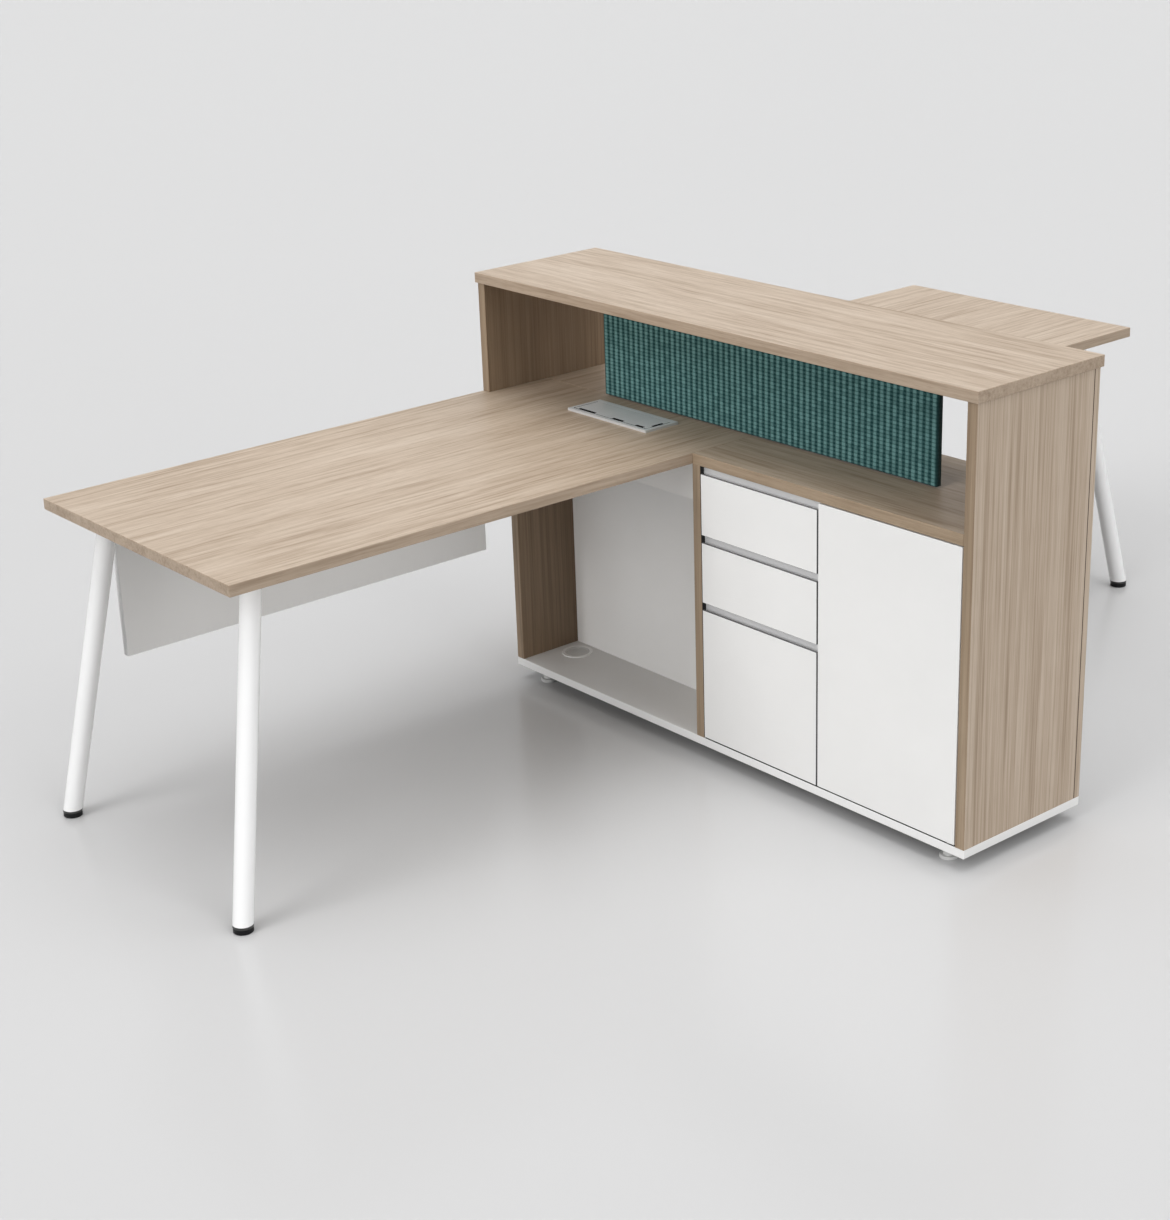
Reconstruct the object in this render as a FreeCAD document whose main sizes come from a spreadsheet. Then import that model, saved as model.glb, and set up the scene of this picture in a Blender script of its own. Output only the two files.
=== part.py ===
import FreeCAD, Part
import math
import os
import re
import Sketcher

# Driving dimensions in millimetres: alias, value, what it measures
SIZES = [
    ("cabinet_length", 1600, "left upright's outer face to the end panel's outer face"),
    ("cabinet_depth", 380, "front of the cabinet to its back"),
    ("cabinet_height", 1050, "floor to the top of the shelf"),
    ("desk_height", 750, "floor to the top of the desk boards"),
    ("desk_width", 775, "long edge to long edge of a desk board"),
    ("desk_length", 1400, "cabinet centre line to the free end of a desk board"),
    ("board", 25, "thickness of the wood boards"),
    ("liner", 18, "thickness of the white boards"),
    ("edge_break", 1, "bevel on the edge banding of every board"),
    ("shelf_overhang", 5, "top shelf past the uprights, all round"),
    ("left_inset", 90, "lower left panel set in from the left upright"),
    ("lipping_width", 18, "solid strip on the rear edge of the end panel"),
    ("base_thickness", 20, "white plinth board"),
    ("foot_height", 35, "floor to the underside of the plinth board"),
    ("foot_radius", 20, "disc of a cabinet foot"),
    ("foot_neck_radius", 12, "neck of a cabinet foot"),
    ("foot_disc", 8, "height of a cabinet foot's disc"),
    ("foot_side", 75, "cabinet foot in from the end of the plinth"),
    ("foot_front", 40, "cabinet foot in from the long edge of the plinth"),
    ("stem_radius", 5, "threaded stem of feet and glides"),
    ("stem_length", 15, "stem above a foot or glide"),
    ("stem_play", 1, "hole past the end of a foot's stem"),
    ("running_gap", 0.05, "radial clearance of a pin or stem in its hole"),
    ("rail_clear", 2, "bay rail in front of the power box tray"),
    ("rail_height", 95, "bay rail under the desk board"),
    ("screen_length", 1080, "fabric screen, end to end"),
    ("screen_thickness", 18, "fabric screen"),
    ("screen_gap", 4, "screen's lower edge above the desk"),
    ("dowel_radius", 4, "dowel between shelf and screen"),
    ("dowel_depth", 15, "dowel in each of its two holes"),
    ("dowel_spacing", 320, "dowel to dowel along the screen"),
    ("grommet_side", 60, "grommet centre from the lower left panel"),
    ("grommet_out", 60, "grommet centre from the cabinet's centre line"),
    ("grommet_flange_radius", 40, "grommet flange"),
    ("grommet_flange", 2.5, "height of the grommet flange"),
    ("grommet_collar_radius", 34.8, "outside of the grommet collar"),
    ("collar_play", 0.2, "grommet collar to its hole in the plinth"),
    ("grommet_bore_radius", 32, "inside of the grommet collar"),
    ("grommet_ledge", 2, "width and height of the ledge that carries the cap"),
    ("grommet_sink", 1, "cap's underside below the plinth's top"),
    ("cap_rim", 4, "grommet bore to the dish of its cap"),
    ("cap_recess", 1, "dish in the top of the grommet cap"),
    ("loose_gap", 0.3, "clearance of a part that drops or slides into another"),
    ("drawer_column", 370, "divider to the middle of the partition"),
    ("front_thickness", 18, "drawer fronts and door"),
    ("front_gap", 3, "gap between fronts"),
    ("side_gap", 2, "drawer front to the divider"),
    ("recess_height", 18, "finger recess over a drawer front"),
    ("small_front_height", 146, "upper and middle drawer fronts"),
    ("channel_wall", 1.5, "aluminium and steel sheet"),
    ("grip_lip", 4.5, "lip of a drawer front before its finger groove"),
    ("groove_depth", 14, "finger groove below the top of a front"),
    ("grip_reach", 5, "grip profile's face before the backs of the fronts"),
    ("grip_drop", 10, "grip profile below the top of a front"),
    ("drawer_length", 320, "drawer box behind its front"),
    ("drawer_wall", 12, "drawer sides and back"),
    ("drawer_floor", 6, "drawer bottom"),
    ("drawer_floor_lift", 8, "drawer bottom above the lower edge of the sides"),
    ("box_lift", 12, "drawer box above the lower edge of its front"),
    ("box_drop", 34, "drawer box below the upper edge of its front"),
    ("runner_space", 13, "runner between drawer side and cabinet"),
    ("runner_height", 25, "runner channel"),
    ("runner_lift", 14, "runner above the lower edge of the drawer sides"),
    ("runner_length", 310, "runner channel and slide"),
    ("runner_start", 4, "runner behind the fronts"),
    ("hinge_gap", 2.5, "door to the end panel"),
    ("pivot_side", 20, "door pivot in from the hinged edge"),
    ("pivot_radius", 3, "door pivot pin"),
    ("pivot_depth", 20, "pivot pin in the door"),
    ("bush_radius", 6, "outside of a pivot bush"),
    ("bush_height", 10, "pivot bush in plinth and worktop"),
    ("strike_thickness", 1.5, "steel strike plate on the door"),
    ("strike_height", 15, "strike plate and magnet"),
    ("strike_drop", 40, "strike plate's upper edge below the worktop"),
    ("catch_width", 14, "magnetic catch on the partition"),
    ("catch_length", 34, "magnetic catch, front to back"),
    ("catch_gap", 0.5, "strike plate to magnet"),
    ("inner_shelf_setback", 60, "inner shelf behind the cabinet's face"),
    ("inner_shelf_height", 330, "inner shelf above the plinth"),
    ("inner_shelf_play", 1, "inner shelf to the walls beside it"),
    ("support_width", 14, "shelf support out of its wall"),
    ("support_length", 18, "shelf support, front to back"),
    ("support_height", 8, "shelf support"),
    ("support_inset", 30, "shelf support in from the inner shelf's edge"),
    ("leg_diameter", 45, "desk leg tube"),
    ("leg_wall", 2, "wall of the leg tube"),
    ("leg_cap", 6, "plate that closes the foot of a leg"),
    ("leg_plate", 110, "plate on top of a leg, along the desk"),
    ("plate_outer", 26, "leg plate from the leg's middle towards the desk's long edge"),
    ("plate_inner", 44, "leg plate from the leg's middle towards the desk's middle"),
    ("plate_thickness", 5, "leg plate"),
    ("leg_side", 18, "foot of a leg in from the long edge of the desk"),
    ("leg_out", 33, "foot of a leg past the free end of the desk"),
    ("lean_side", 78, "leg's lean across the desk"),
    ("lean_end", 140, "leg's lean along the desk"),
    ("glide_height", 12, "levelling glide under a leg"),
    ("glide_radius", 21.5, "levelling glide"),
    ("glide_round", 1.5, "rounded lower edge of glides and feet"),
    ("cross_width", 30, "cross rail, along the desk"),
    ("cross_height", 30, "cross rail, upright"),
    ("cross_play", 3, "cross rail to the leg tubes"),
    ("tube_wall", 2, "wall of the cross rail and side beams"),
    ("beam_width", 20, "side beam"),
    ("beam_height", 40, "side beam, upright"),
    ("beam_inset", 200, "side beam in from the long edge of the desk"),
    ("modesty_inset", 51, "modesty panel in from the left edge of the desk"),
    ("modesty_height", 364, "modesty panel"),
    ("modesty_end", 124, "modesty panel short of the desk's free end"),
    ("modesty_near", 67, "modesty panel short of the cabinet"),
    ("angle_leg", 30, "leg of a fixing angle"),
    ("angle_sheet", 3, "sheet of a fixing angle"),
    ("angle_width", 40, "length of a fixing angle"),
    ("angle_inset", 120, "fixing angle in from the end of the modesty panel"),
    ("power_inset", 438, "power box centre from the left edge of the desk"),
    ("power_out", 107, "power box centre from the cabinet's centre line"),
    ("power_length", 285, "power box flange"),
    ("power_width", 102, "power box flange"),
    ("flange_width", 10, "flange round the power box opening"),
    ("flange_height", 6, "flange over the desk"),
    ("collar_wall", 2, "collar under the flange"),
    ("cutout_play", 1, "collar to the cut-out in the desk"),
    ("lid_gap", 2, "lid to its opening"),
    ("lid_thickness", 6, "lid"),
    ("lid_pivot_in", 5, "lid pivot in from the lid's rear edge"),
    ("lid_pin_radius", 1.5, "lid pivot pin"),
    ("lid_pin_reach", 3.5, "lid pin out of the lid's end"),
    ("lid_rest", 4, "ledge under the ends of the lid"),
    ("lid_rest_height", 3, "ledge under the ends of the lid"),
    ("notch_depth", 8, "cable notch into the lid"),
    ("long_notch", 60, "wide cable notch"),
    ("short_notch", 40, "middle cable notch"),
    ("small_notch", 28, "narrow cable notch"),
    ("side_notch", 34, "cable notch in the end of the lid"),
    ("first_notch", 87, "wide notch left of the middle"),
    ("second_notch", 26, "middle notch right of the middle"),
    ("third_notch", 104, "narrow notch right of the middle"),
    ("well_depth", 60, "power box tray below the desk"),
    ("well_wall", 1.5, "sheet of the power box tray"),
    ("socket_size", 45, "socket module face"),
    ("socket_height", 20, "socket module"),
    ("socket_pitch", 60, "socket module to socket module"),
]

# Places worked out from the sizes; x runs along the cabinet, y across it, z up from the floor
PLACES = {
    "left": "-cabinet_length / 2",
    "right": "cabinet_length / 2",
    "front": "-cabinet_depth / 2",
    "back": "cabinet_depth / 2",
    "base_top": "foot_height + base_thickness",
    "under": "desk_height - board",
    "shelf_under": "cabinet_height - board",
    "bay_outer": "left + left_inset",
    "bay_left": "bay_outer + board",
    "seam": "left + desk_width",
    "drawer_left": "seam + board",
    "partition_mid": "drawer_left + drawer_column",
    "partition_left": "partition_mid - liner / 2",
    "partition_right": "partition_mid + liner / 2",
    "end_inner": "right - board",
    "fronts_back": "front + front_thickness",
    "upper_top": "under - recess_height",
    "upper_bottom": "upper_top - small_front_height",
    "middle_top": "upper_bottom - recess_height",
    "middle_bottom": "middle_top - small_front_height",
    "lower_top": "middle_bottom - recess_height",
    "lower_bottom": "base_top + front_gap",
    "box_left": "drawer_left + runner_space",
    "box_right": "partition_left - runner_space",
    "pivot_x": "end_inner - hinge_gap - pivot_side",
    "pivot_y": "front + front_thickness / 2",
    "tray_reach": "power_out + opening_width / 2 + collar_wall",
    "rail_face": "tray_reach + rail_clear + liner",
    "plates_under": "under - plate_thickness",
    "leg_top_out": "desk_length + leg_out - lean_end",
    "leg_top_side": "leg_side + lean_side",
    "power_x": "left + power_inset",
    "opening_length": "power_length - 2 * flange_width",
    "opening_width": "power_width - 2 * flange_width",
    "lid_length": "opening_length - 2 * lid_gap",
    "lid_width": "opening_width - 2 * lid_gap",
    "lid_under": "desk_height + flange_height - lid_thickness",
    "grommet_x": "bay_left + grommet_side",
    "shelf_floor": "base_top + inner_shelf_height",
}
ALIASES = {alias for alias, value, meaning in SIZES}

# Drawers from the top down: name, lower and upper edge of the front, top of the grip profile over it
DRAWERS = [
    ("upper", "upper_bottom", "upper_top", "under"),
    ("middle", "middle_bottom", "middle_top", "upper_bottom - side_gap"),
    ("lower", "lower_bottom", "lower_top", "middle_bottom - side_gap"),
]
SIDES = ("a", "b")

doc = FreeCAD.newDocument("workstation_cluster")
sheet = doc.addObject("Spreadsheet::Sheet", "Sizes")
for row, (alias, value, meaning) in enumerate(SIZES, start=1):
    sheet.set("A%d" % row, meaning)
    sheet.set("B%d" % row, str(value))
    sheet.setAlias("B%d" % row, alias)
doc.recompute()
subparts = []


def formula(text):
    """Spell out a size or place in the sheet's cells."""
    def spell(match):
        name = match.group(0)
        if name in PLACES:
            return "(" + formula(PLACES[name]) + ")"
        if name in ALIASES:
            return "Sizes." + name
        raise ValueError("no size or place named " + name)
    return re.sub(r"[a-z_]+", spell, str(text))


def bind(thing, **sizes):
    for name, text in sizes.items():
        thing.setExpression(name, formula(text))


def place(thing, x, y, z):
    for axis, text in zip("xyz", (x, y, z)):
        thing.setExpression("Placement.Base." + axis, formula(text))


def plus(text, more):
    return "(%s) + (%s)" % (text, more)


def minus(text, less):
    return "(%s) - (%s)" % (text, less)


def out(side, distance):
    """A y place at a distance from the cabinet's centre line, towards desk a or desk b."""
    return "-(%s)" % distance if side == "a" else "(%s)" % distance


def span(side, near, far):
    """The lower and higher y of what reaches from near to far on one side."""
    return (out(side, far), out(side, near)) if side == "a" else (near, far)


def keep(thing, label):
    """Take a finished object as a sub-part under its own name."""
    thing.Label = label
    subparts.append(thing)
    return thing


def group(label, members):
    """Separate solids of one kind that share a node."""
    compound = doc.addObject("Part::Compound", label)
    compound.Links = members
    return keep(compound, label)


def block(name, x, y, z):
    """A plain box between two x, two y and two z places."""
    box = doc.addObject("Part::Box", name)
    bind(box, Length=minus(x[1], x[0]), Width=minus(y[1], y[0]), Height=minus(z[1], z[0]))
    place(box, x[0], y[0], z[0])
    return box


def sketch_on(body, role, lift="0"):
    """A sketch on one of the body's own origin planes, or lifted off it."""
    sketch = body.newObject("Sketcher::SketchObject", body.Name + "_sketch")
    plane = next(feature for feature in body.Origin.OriginFeatures if feature.Role == role)
    sketch.AttachmentSupport = [(plane, "")]
    sketch.MapMode = "FlatFace"
    sketch.setExpression("AttachmentOffset.Base.z", formula(lift))
    return sketch


def outline(sketch, points):
    """A closed outline whose corners are tied to the sheet by their distances from the origin."""
    first = sketch.GeometryCount
    count = len(points)
    turn = 2 * math.pi / count
    ring = [FreeCAD.Vector(10 * math.cos(i * turn), 10 * math.sin(i * turn), 0) for i in range(count)]
    for i in range(count):
        sketch.addGeometry(Part.LineSegment(ring[i], ring[(i + 1) % count]))
    for i in range(count):
        sketch.addConstraint(Sketcher.Constraint("Coincident", first + i, 2, first + (i + 1) % count, 1))
    for i, (u, v) in enumerate(points):
        across = sketch.addConstraint(Sketcher.Constraint("DistanceX", -1, 1, first + i, 1, ring[i].x))
        upward = sketch.addConstraint(Sketcher.Constraint("DistanceY", -1, 1, first + i, 1, ring[i].y))
        sketch.setExpression("Constraints[%d]" % across, formula(u))
        sketch.setExpression("Constraints[%d]" % upward, formula(v))


def rectangle(sketch, u, v):
    outline(sketch, [(u[0], v[0]), (u[1], v[0]), (u[1], v[1]), (u[0], v[1])])


def circle(sketch, u, v, radius):
    index = sketch.addGeometry(Part.Circle(FreeCAD.Vector(1, 1, 0), FreeCAD.Vector(0, 0, 1), 5))
    across = sketch.addConstraint(Sketcher.Constraint("DistanceX", -1, 1, index, 3, 1))
    upward = sketch.addConstraint(Sketcher.Constraint("DistanceY", -1, 1, index, 3, 1))
    size = sketch.addConstraint(Sketcher.Constraint("Radius", index, 5))
    sketch.setExpression("Constraints[%d]" % across, formula(u))
    sketch.setExpression("Constraints[%d]" % upward, formula(v))
    sketch.setExpression("Constraints[%d]" % size, formula(radius))


def new_body(name, x="0", y="0", z="0"):
    body = doc.addObject("PartDesign::Body", name)
    place(body, x, y, z)
    return body


def pad(body, sketch, length, symmetric=False):
    feature = body.newObject("PartDesign::Pad", body.Name + "_pad")
    feature.Profile = sketch
    bind(feature, Length=length)
    if symmetric:
        feature.SideType = "Symmetric"
    return feature


def pocket(body, sketch, length, upward=False, symmetric=False):
    """A cut from the sketch down into the body, up into it, or both ways."""
    feature = body.newObject("PartDesign::Pocket", body.Name + "_pocket")
    feature.Profile = sketch
    bind(feature, Length=length)
    feature.Reversed = upward
    if symmetric:
        feature.SideType = "Symmetric"
    return feature


def board(name, x, y, z):
    """A cut board between two x, two y and two z places, with its banded edges bevelled."""
    body = new_body(name, x[0], y[0], z[0])
    sketch = sketch_on(body, "XY_Plane")
    rectangle(sketch, ("0", minus(x[1], x[0])), ("0", minus(y[1], y[0])))
    blank = pad(body, sketch, minus(z[1], z[0]))
    bevel = body.newObject("PartDesign::Chamfer", name + "_bevel")
    bevel.Base = (blank, ["Edge1"])
    bevel.UseAllEdges = True
    bind(bevel, Size="edge_break")
    return body


def turned(name, profile, x, y, z):
    """A turned piece: a half profile of radius and height pairs, spun about the upright axis."""
    body = new_body(name, x, y, z)
    sketch = sketch_on(body, "XZ_Plane")
    outline(sketch, profile)
    spin = body.newObject("PartDesign::Revolution", name + "_spin")
    spin.Profile = sketch
    spin.ReferenceAxis = (sketch, ["V_Axis"])
    return body


def extruded(name, role, profile, length, x, y, z):
    """A section carried both ways along the normal of an origin plane."""
    body = new_body(name, x, y, z)
    sketch = sketch_on(body, role)
    outline(sketch, profile)
    pad(body, sketch, length, symmetric=True)
    return body


# Cabinet boards

base = board("base_panel", ("bay_outer", "right"), ("front", "back"), ("foot_height", "base_top"))
through = sketch_on(base, "XY_Plane", "base_thickness")
for side in SIDES:
    circle(through, minus("grommet_x", "bay_outer"), minus(out(side, "grommet_out"), "front"),
           "grommet_collar_radius + collar_play")
pocket(base, through, "base_thickness")
FOOT_PLACES = {
    "front_left": ("bay_outer + foot_side", out("a", "cabinet_depth / 2 - foot_front")),
    "front_right": ("right - foot_side", out("a", "cabinet_depth / 2 - foot_front")),
    "back_left": ("bay_outer + foot_side", out("b", "cabinet_depth / 2 - foot_front")),
    "back_right": ("right - foot_side", out("b", "cabinet_depth / 2 - foot_front")),
}
sockets = sketch_on(base, "XY_Plane")
for x, y in FOOT_PLACES.values():
    circle(sockets, minus(x, "bay_outer"), minus(y, "front"), "stem_radius + running_gap")
pocket(base, sockets, "stem_length + stem_play", upward=True)
seat = sketch_on(base, "XY_Plane", "base_thickness")
circle(seat, minus("pivot_x", "bay_outer"), minus("pivot_y", "front"), "bush_radius + running_gap")
pocket(base, seat, "bush_height")
keep(base, "base_panel")

upright = ("base_top", "under")
depth = ("front", "back")
keep(board("lower_left_panel", ("bay_outer", "bay_left"), depth, upright), "lower_left_panel")
keep(board("divider_panel", ("seam", "drawer_left"), depth, upright), "divider_panel")
keep(board("partition_panel", ("partition_left", "partition_right"),
           ("fronts_back + side_gap", "back - liner"), upright), "partition_panel")
keep(board("right_end_panel", ("end_inner", "right"), ("front", "back - lipping_width"),
           ("base_top", "shelf_under")), "right_end_panel")
keep(board("end_panel_lipping", ("end_inner", "right"), ("back - lipping_width", "back"),
           ("base_top", "shelf_under")), "end_panel_lipping")
keep(board("bay_back_panel", ("bay_left", "seam"), ("-liner / 2", "liner / 2"), upright), "bay_back_panel")
keep(board("storage_back_panel", ("drawer_left", "end_inner"), ("back - liner", "back"), upright),
     "storage_back_panel")
keep(board("left_upright", ("left", "left + board"), depth, ("desk_height", "shelf_under")), "left_upright")
group("bay_rails", [
    board("bay_rail_" + side, ("bay_left", "seam"), span(side, minus("rail_face", "liner"), "rail_face"),
          ("under - rail_height", "under"))
    for side in SIDES
])

worktop = board("worktop", ("seam", "end_inner"), depth, ("under", "desk_height"))
seat = sketch_on(worktop, "XY_Plane")
circle(seat, minus("pivot_x", "seam"), minus("pivot_y", "front"), "bush_radius + running_gap")
pocket(worktop, seat, "bush_height", upward=True)
keep(worktop, "worktop")

# Top shelf with the fabric screen dowelled under it

DOWELS = ["%s * dowel_spacing" % step for step in (-1.5, -0.5, 0.5, 1.5)]
shelf_left = "left - shelf_overhang"
shelf_front = "front - shelf_overhang"
shelf = board("top_shelf", (shelf_left, "right + shelf_overhang"), (shelf_front, "back + shelf_overhang"),
              ("shelf_under", "cabinet_height"))
holes = sketch_on(shelf, "XY_Plane")
for x in DOWELS:
    circle(holes, minus(x, shelf_left), minus("0", shelf_front), "dowel_radius + running_gap")
pocket(shelf, holes, "dowel_depth", upward=True)
keep(shelf, "top_shelf")

screen_low = "desk_height + screen_gap"
screen = board("screen_panel", ("-screen_length / 2", "screen_length / 2"),
               ("-screen_thickness / 2", "screen_thickness / 2"), (screen_low, "shelf_under"))
holes = sketch_on(screen, "XY_Plane", minus("shelf_under", screen_low))
for x in DOWELS:
    circle(holes, plus(x, "screen_length / 2"), "screen_thickness / 2", "dowel_radius + running_gap")
pocket(screen, holes, "dowel_depth")
keep(screen, "screen_panel")
dowel = [("0", "-dowel_depth"), ("dowel_radius", "-dowel_depth"), ("dowel_radius", "dowel_depth"),
         ("0", "dowel_depth")]
group("screen_dowels", [
    turned("screen_dowel_%d" % number, dowel, x, "0", "shelf_under") for number, x in enumerate(DOWELS, 1)
])

# Cable grommets in the plinth

ring = [
    ("grommet_flange_radius", "0"),
    ("grommet_flange_radius", "grommet_flange"),
    ("grommet_bore_radius", "grommet_flange"),
    ("grommet_bore_radius", "-grommet_sink"),
    ("grommet_bore_radius - grommet_ledge", "-grommet_sink"),
    ("grommet_bore_radius - grommet_ledge", "-grommet_sink - grommet_ledge"),
    ("grommet_bore_radius", "-grommet_sink - grommet_ledge"),
    ("grommet_bore_radius", "-base_thickness"),
    ("grommet_collar_radius", "-base_thickness"),
    ("grommet_collar_radius", "0"),
]
group("grommet_rings", [
    turned("grommet_ring_" + side, ring, "grommet_x", out(side, "grommet_out"), "base_top") for side in SIDES
])
cap = [
    ("0", "-grommet_sink"),
    ("grommet_bore_radius - loose_gap", "-grommet_sink"),
    ("grommet_bore_radius - loose_gap", "grommet_flange"),
    ("grommet_bore_radius - cap_rim", "grommet_flange"),
    ("grommet_bore_radius - cap_rim - cap_recess", "grommet_flange - cap_recess"),
    ("0", "grommet_flange - cap_recess"),
]
group("grommet_caps", [
    turned("grommet_cap_" + side, cap, "grommet_x", out(side, "grommet_out"), "base_top") for side in SIDES
])

# Grip profiles: shallow channels on the partition's front edge, one over each drawer front

front_right = "partition_mid - front_gap / 2"
profiles = []
for name, low, high, ceiling in DRAWERS:
    face = "-grip_reach"
    rear = "side_gap"
    floor = minus(high, "grip_drop")
    profiles.append(extruded("grip_profile_" + name, "YZ_Plane", [
        (face, floor),
        (rear, floor),
        (rear, plus(floor, "channel_wall")),
        (plus(face, "channel_wall"), plus(floor, "channel_wall")),
        (plus(face, "channel_wall"), minus(ceiling, "channel_wall")),
        (rear, minus(ceiling, "channel_wall")),
        (rear, ceiling),
        (face, ceiling),
    ], minus(front_right, "drawer_left"), "(drawer_left + %s) / 2" % front_right, "fronts_back", "0"))
group("grip_profiles", profiles)

# Drawers with their runners

tracks = []
for name, low, high, ceiling in DRAWERS:
    prefix = "drawer_" + name
    face = board(prefix + "_front", ("drawer_left + side_gap", front_right), ("front", "fronts_back"),
                 (low, high))
    groove = sketch_on(face, "XY_Plane", minus(high, low))
    rectangle(groove, ("-edge_break", minus(front_right, "drawer_left")),
              ("grip_lip", "front_thickness + edge_break"))
    pocket(face, groove, "groove_depth")
    keep(face, prefix + "_front")
    bottom = plus(low, "box_lift")
    top = minus(high, "box_drop")
    length = ("fronts_back", "fronts_back + drawer_length")
    inside = ("box_left + drawer_wall", "box_right - drawer_wall")
    floor = plus(bottom, "drawer_floor_lift")
    group(prefix + "_box", [
        block(prefix + "_left_side", ("box_left", inside[0]), length, (bottom, top)),
        block(prefix + "_right_side", (inside[1], "box_right"), length, (bottom, top)),
        block(prefix + "_back", inside, (minus(length[1], "drawer_wall"), length[1]), (bottom, top)),
        block(prefix + "_bottom", inside, (length[0], minus(length[1], "drawer_wall")),
              (floor, plus(floor, "drawer_floor"))),
    ])
    middle = "fronts_back + runner_start + runner_length / 2"
    height = plus(bottom, "runner_lift")
    slides = []
    for hand, wall, sign in (("left", "drawer_left", "1"), ("right", "partition_left", "-1")):
        reach = "%s * (runner_space - loose_gap)" % sign
        web = "%s * channel_wall" % sign
        tracks.append(extruded(prefix + "_track_" + hand, "XZ_Plane", [
            ("0", "0"),
            (reach, "0"),
            (reach, "channel_wall"),
            (web, "channel_wall"),
            (web, "runner_height - channel_wall"),
            (reach, "runner_height - channel_wall"),
            (reach, "runner_height"),
            ("0", "runner_height"),
        ], "runner_length", wall, middle, height))
        near = "%s * (channel_wall + loose_gap)" % sign
        far = "%s * runner_space" % sign
        slides.append(extruded(prefix + "_slide_" + hand, "XZ_Plane", [
            (near, "channel_wall + loose_gap"),
            (far, "channel_wall + loose_gap"),
            (far, "runner_height - channel_wall - loose_gap"),
            (near, "runner_height - channel_wall - loose_gap"),
        ], "runner_length", wall, middle, height))
    group(prefix + "_runners", slides)
group("runner_channels", tracks)

# Door on two pivots, with its magnetic catch and the shelf behind it

door_left = "partition_mid + front_gap / 2"
door_low = "lower_bottom"
door_high = "under - front_gap"
door = board("door_panel", (door_left, "end_inner - hinge_gap"), ("front", "fronts_back"),
             (door_low, door_high))
bore = sketch_on(door, "XY_Plane")
circle(bore, minus("pivot_x", door_left), minus("pivot_y", "front"), "pivot_radius + running_gap")
pocket(door, bore, "pivot_depth", upward=True)
bore = sketch_on(door, "XY_Plane", minus(door_high, door_low))
circle(bore, minus("pivot_x", door_left), minus("pivot_y", "front"), "pivot_radius + running_gap")
pocket(door, bore, "pivot_depth")
keep(door, "door_panel")
pin_length = "pivot_depth + front_gap + bush_height"
pin = [("0", "0"), ("pivot_radius", "0"), ("pivot_radius", pin_length), ("0", pin_length)]
strike_top = "under - strike_drop"
group("door_fittings", [
    turned("lower_pivot", pin, "pivot_x", "pivot_y", "base_top - bush_height"),
    turned("upper_pivot", pin, "pivot_x", "pivot_y", minus("under + bush_height", pin_length)),
    block("strike_plate", ("partition_right", "partition_right + catch_width"),
          ("fronts_back", "fronts_back + strike_thickness"), (minus(strike_top, "strike_height"), strike_top)),
])
bush = [
    ("pivot_radius + running_gap", "0"),
    ("bush_radius", "0"),
    ("bush_radius", "bush_height"),
    ("pivot_radius + running_gap", "bush_height"),
]
group("door_bushes", [
    turned("lower_bush", bush, "pivot_x", "pivot_y", "base_top - bush_height"),
    turned("upper_bush", bush, "pivot_x", "pivot_y", "under"),
])
catch_front = "fronts_back + strike_thickness + catch_gap"
keep(board("door_catch", ("partition_right", "partition_right + catch_width"),
           (catch_front, plus(catch_front, "catch_length")),
           (minus(strike_top, "strike_height"), strike_top)), "door_catch")
shelf_y = ("front + inner_shelf_setback", "back - liner - inner_shelf_play")
keep(board("inner_shelf", ("partition_right + inner_shelf_play", "end_inner - inner_shelf_play"), shelf_y,
           ("shelf_floor", "shelf_floor + liner")), "inner_shelf")
supports = []
for wall, x in (("left", ("partition_right", "partition_right + support_width")),
                ("right", ("end_inner - support_width", "end_inner"))):
    for end, y in (("front", plus(shelf_y[0], "support_inset")),
                   ("back", minus(shelf_y[1], "support_inset + support_length"))):
        supports.append(block("shelf_support_%s_%s" % (wall, end), x, (y, plus(y, "support_length")),
                              ("shelf_floor - support_height", "shelf_floor")))
group("shelf_supports", supports)

# Cabinet feet, each on a stem that screws into the plinth

foot = [
    ("0", "0"),
    ("foot_radius - glide_round", "0"),
    ("foot_radius", "glide_round"),
    ("foot_radius", "foot_disc - glide_round"),
    ("foot_radius - glide_round", "foot_disc"),
    ("foot_neck_radius", "foot_disc"),
    ("foot_neck_radius", "foot_height"),
    ("stem_radius", "foot_height"),
    ("stem_radius", "foot_height + stem_length"),
    ("0", "foot_height + stem_length"),
]
for name, (x, y) in FOOT_PLACES.items():
    keep(turned("foot_" + name, foot, x, y, "0"), "foot_" + name)

# Desks: board, splayed legs, glides, frame, modesty panel and power box


def leg(name, side, x, inward, lean_y):
    """A round tube that leans across and along the desk, closed at its foot and plated on top."""
    lean_x = inward + " * lean_side"
    body = new_body(name, x, out(side, "desk_length + leg_out"), "glide_height")
    height = "plates_under - glide_height"
    for inner, length in (("leg_diameter / 2 - leg_wall", height), (None, "leg_cap")):
        sketch = sketch_on(body, "XY_Plane")
        circle(sketch, "0", "0", "leg_diameter / 2")
        if inner:
            circle(sketch, "0", "0", inner)
        tube = pad(body, sketch, length)
        tube.UseCustomVector = True
        tube.AlongSketchNormal = True
        for axis, text in zip("xyz", (lean_x, lean_y, height)):
            tube.setExpression("Direction." + axis, formula(text))
    bore = sketch_on(body, "XY_Plane")
    circle(bore, "0", "0", "stem_radius + running_gap")
    pocket(body, bore, "leg_cap", upward=True)
    plate = sketch_on(body, "XY_Plane", height)
    rectangle(plate, (inward + " * (lean_side - plate_outer)", inward + " * (lean_side + plate_inner)"),
              (minus(lean_y, "leg_plate / 2"), plus(lean_y, "leg_plate / 2")))
    pad(body, plate, "plate_thickness")
    return keep(body, name)


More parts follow.
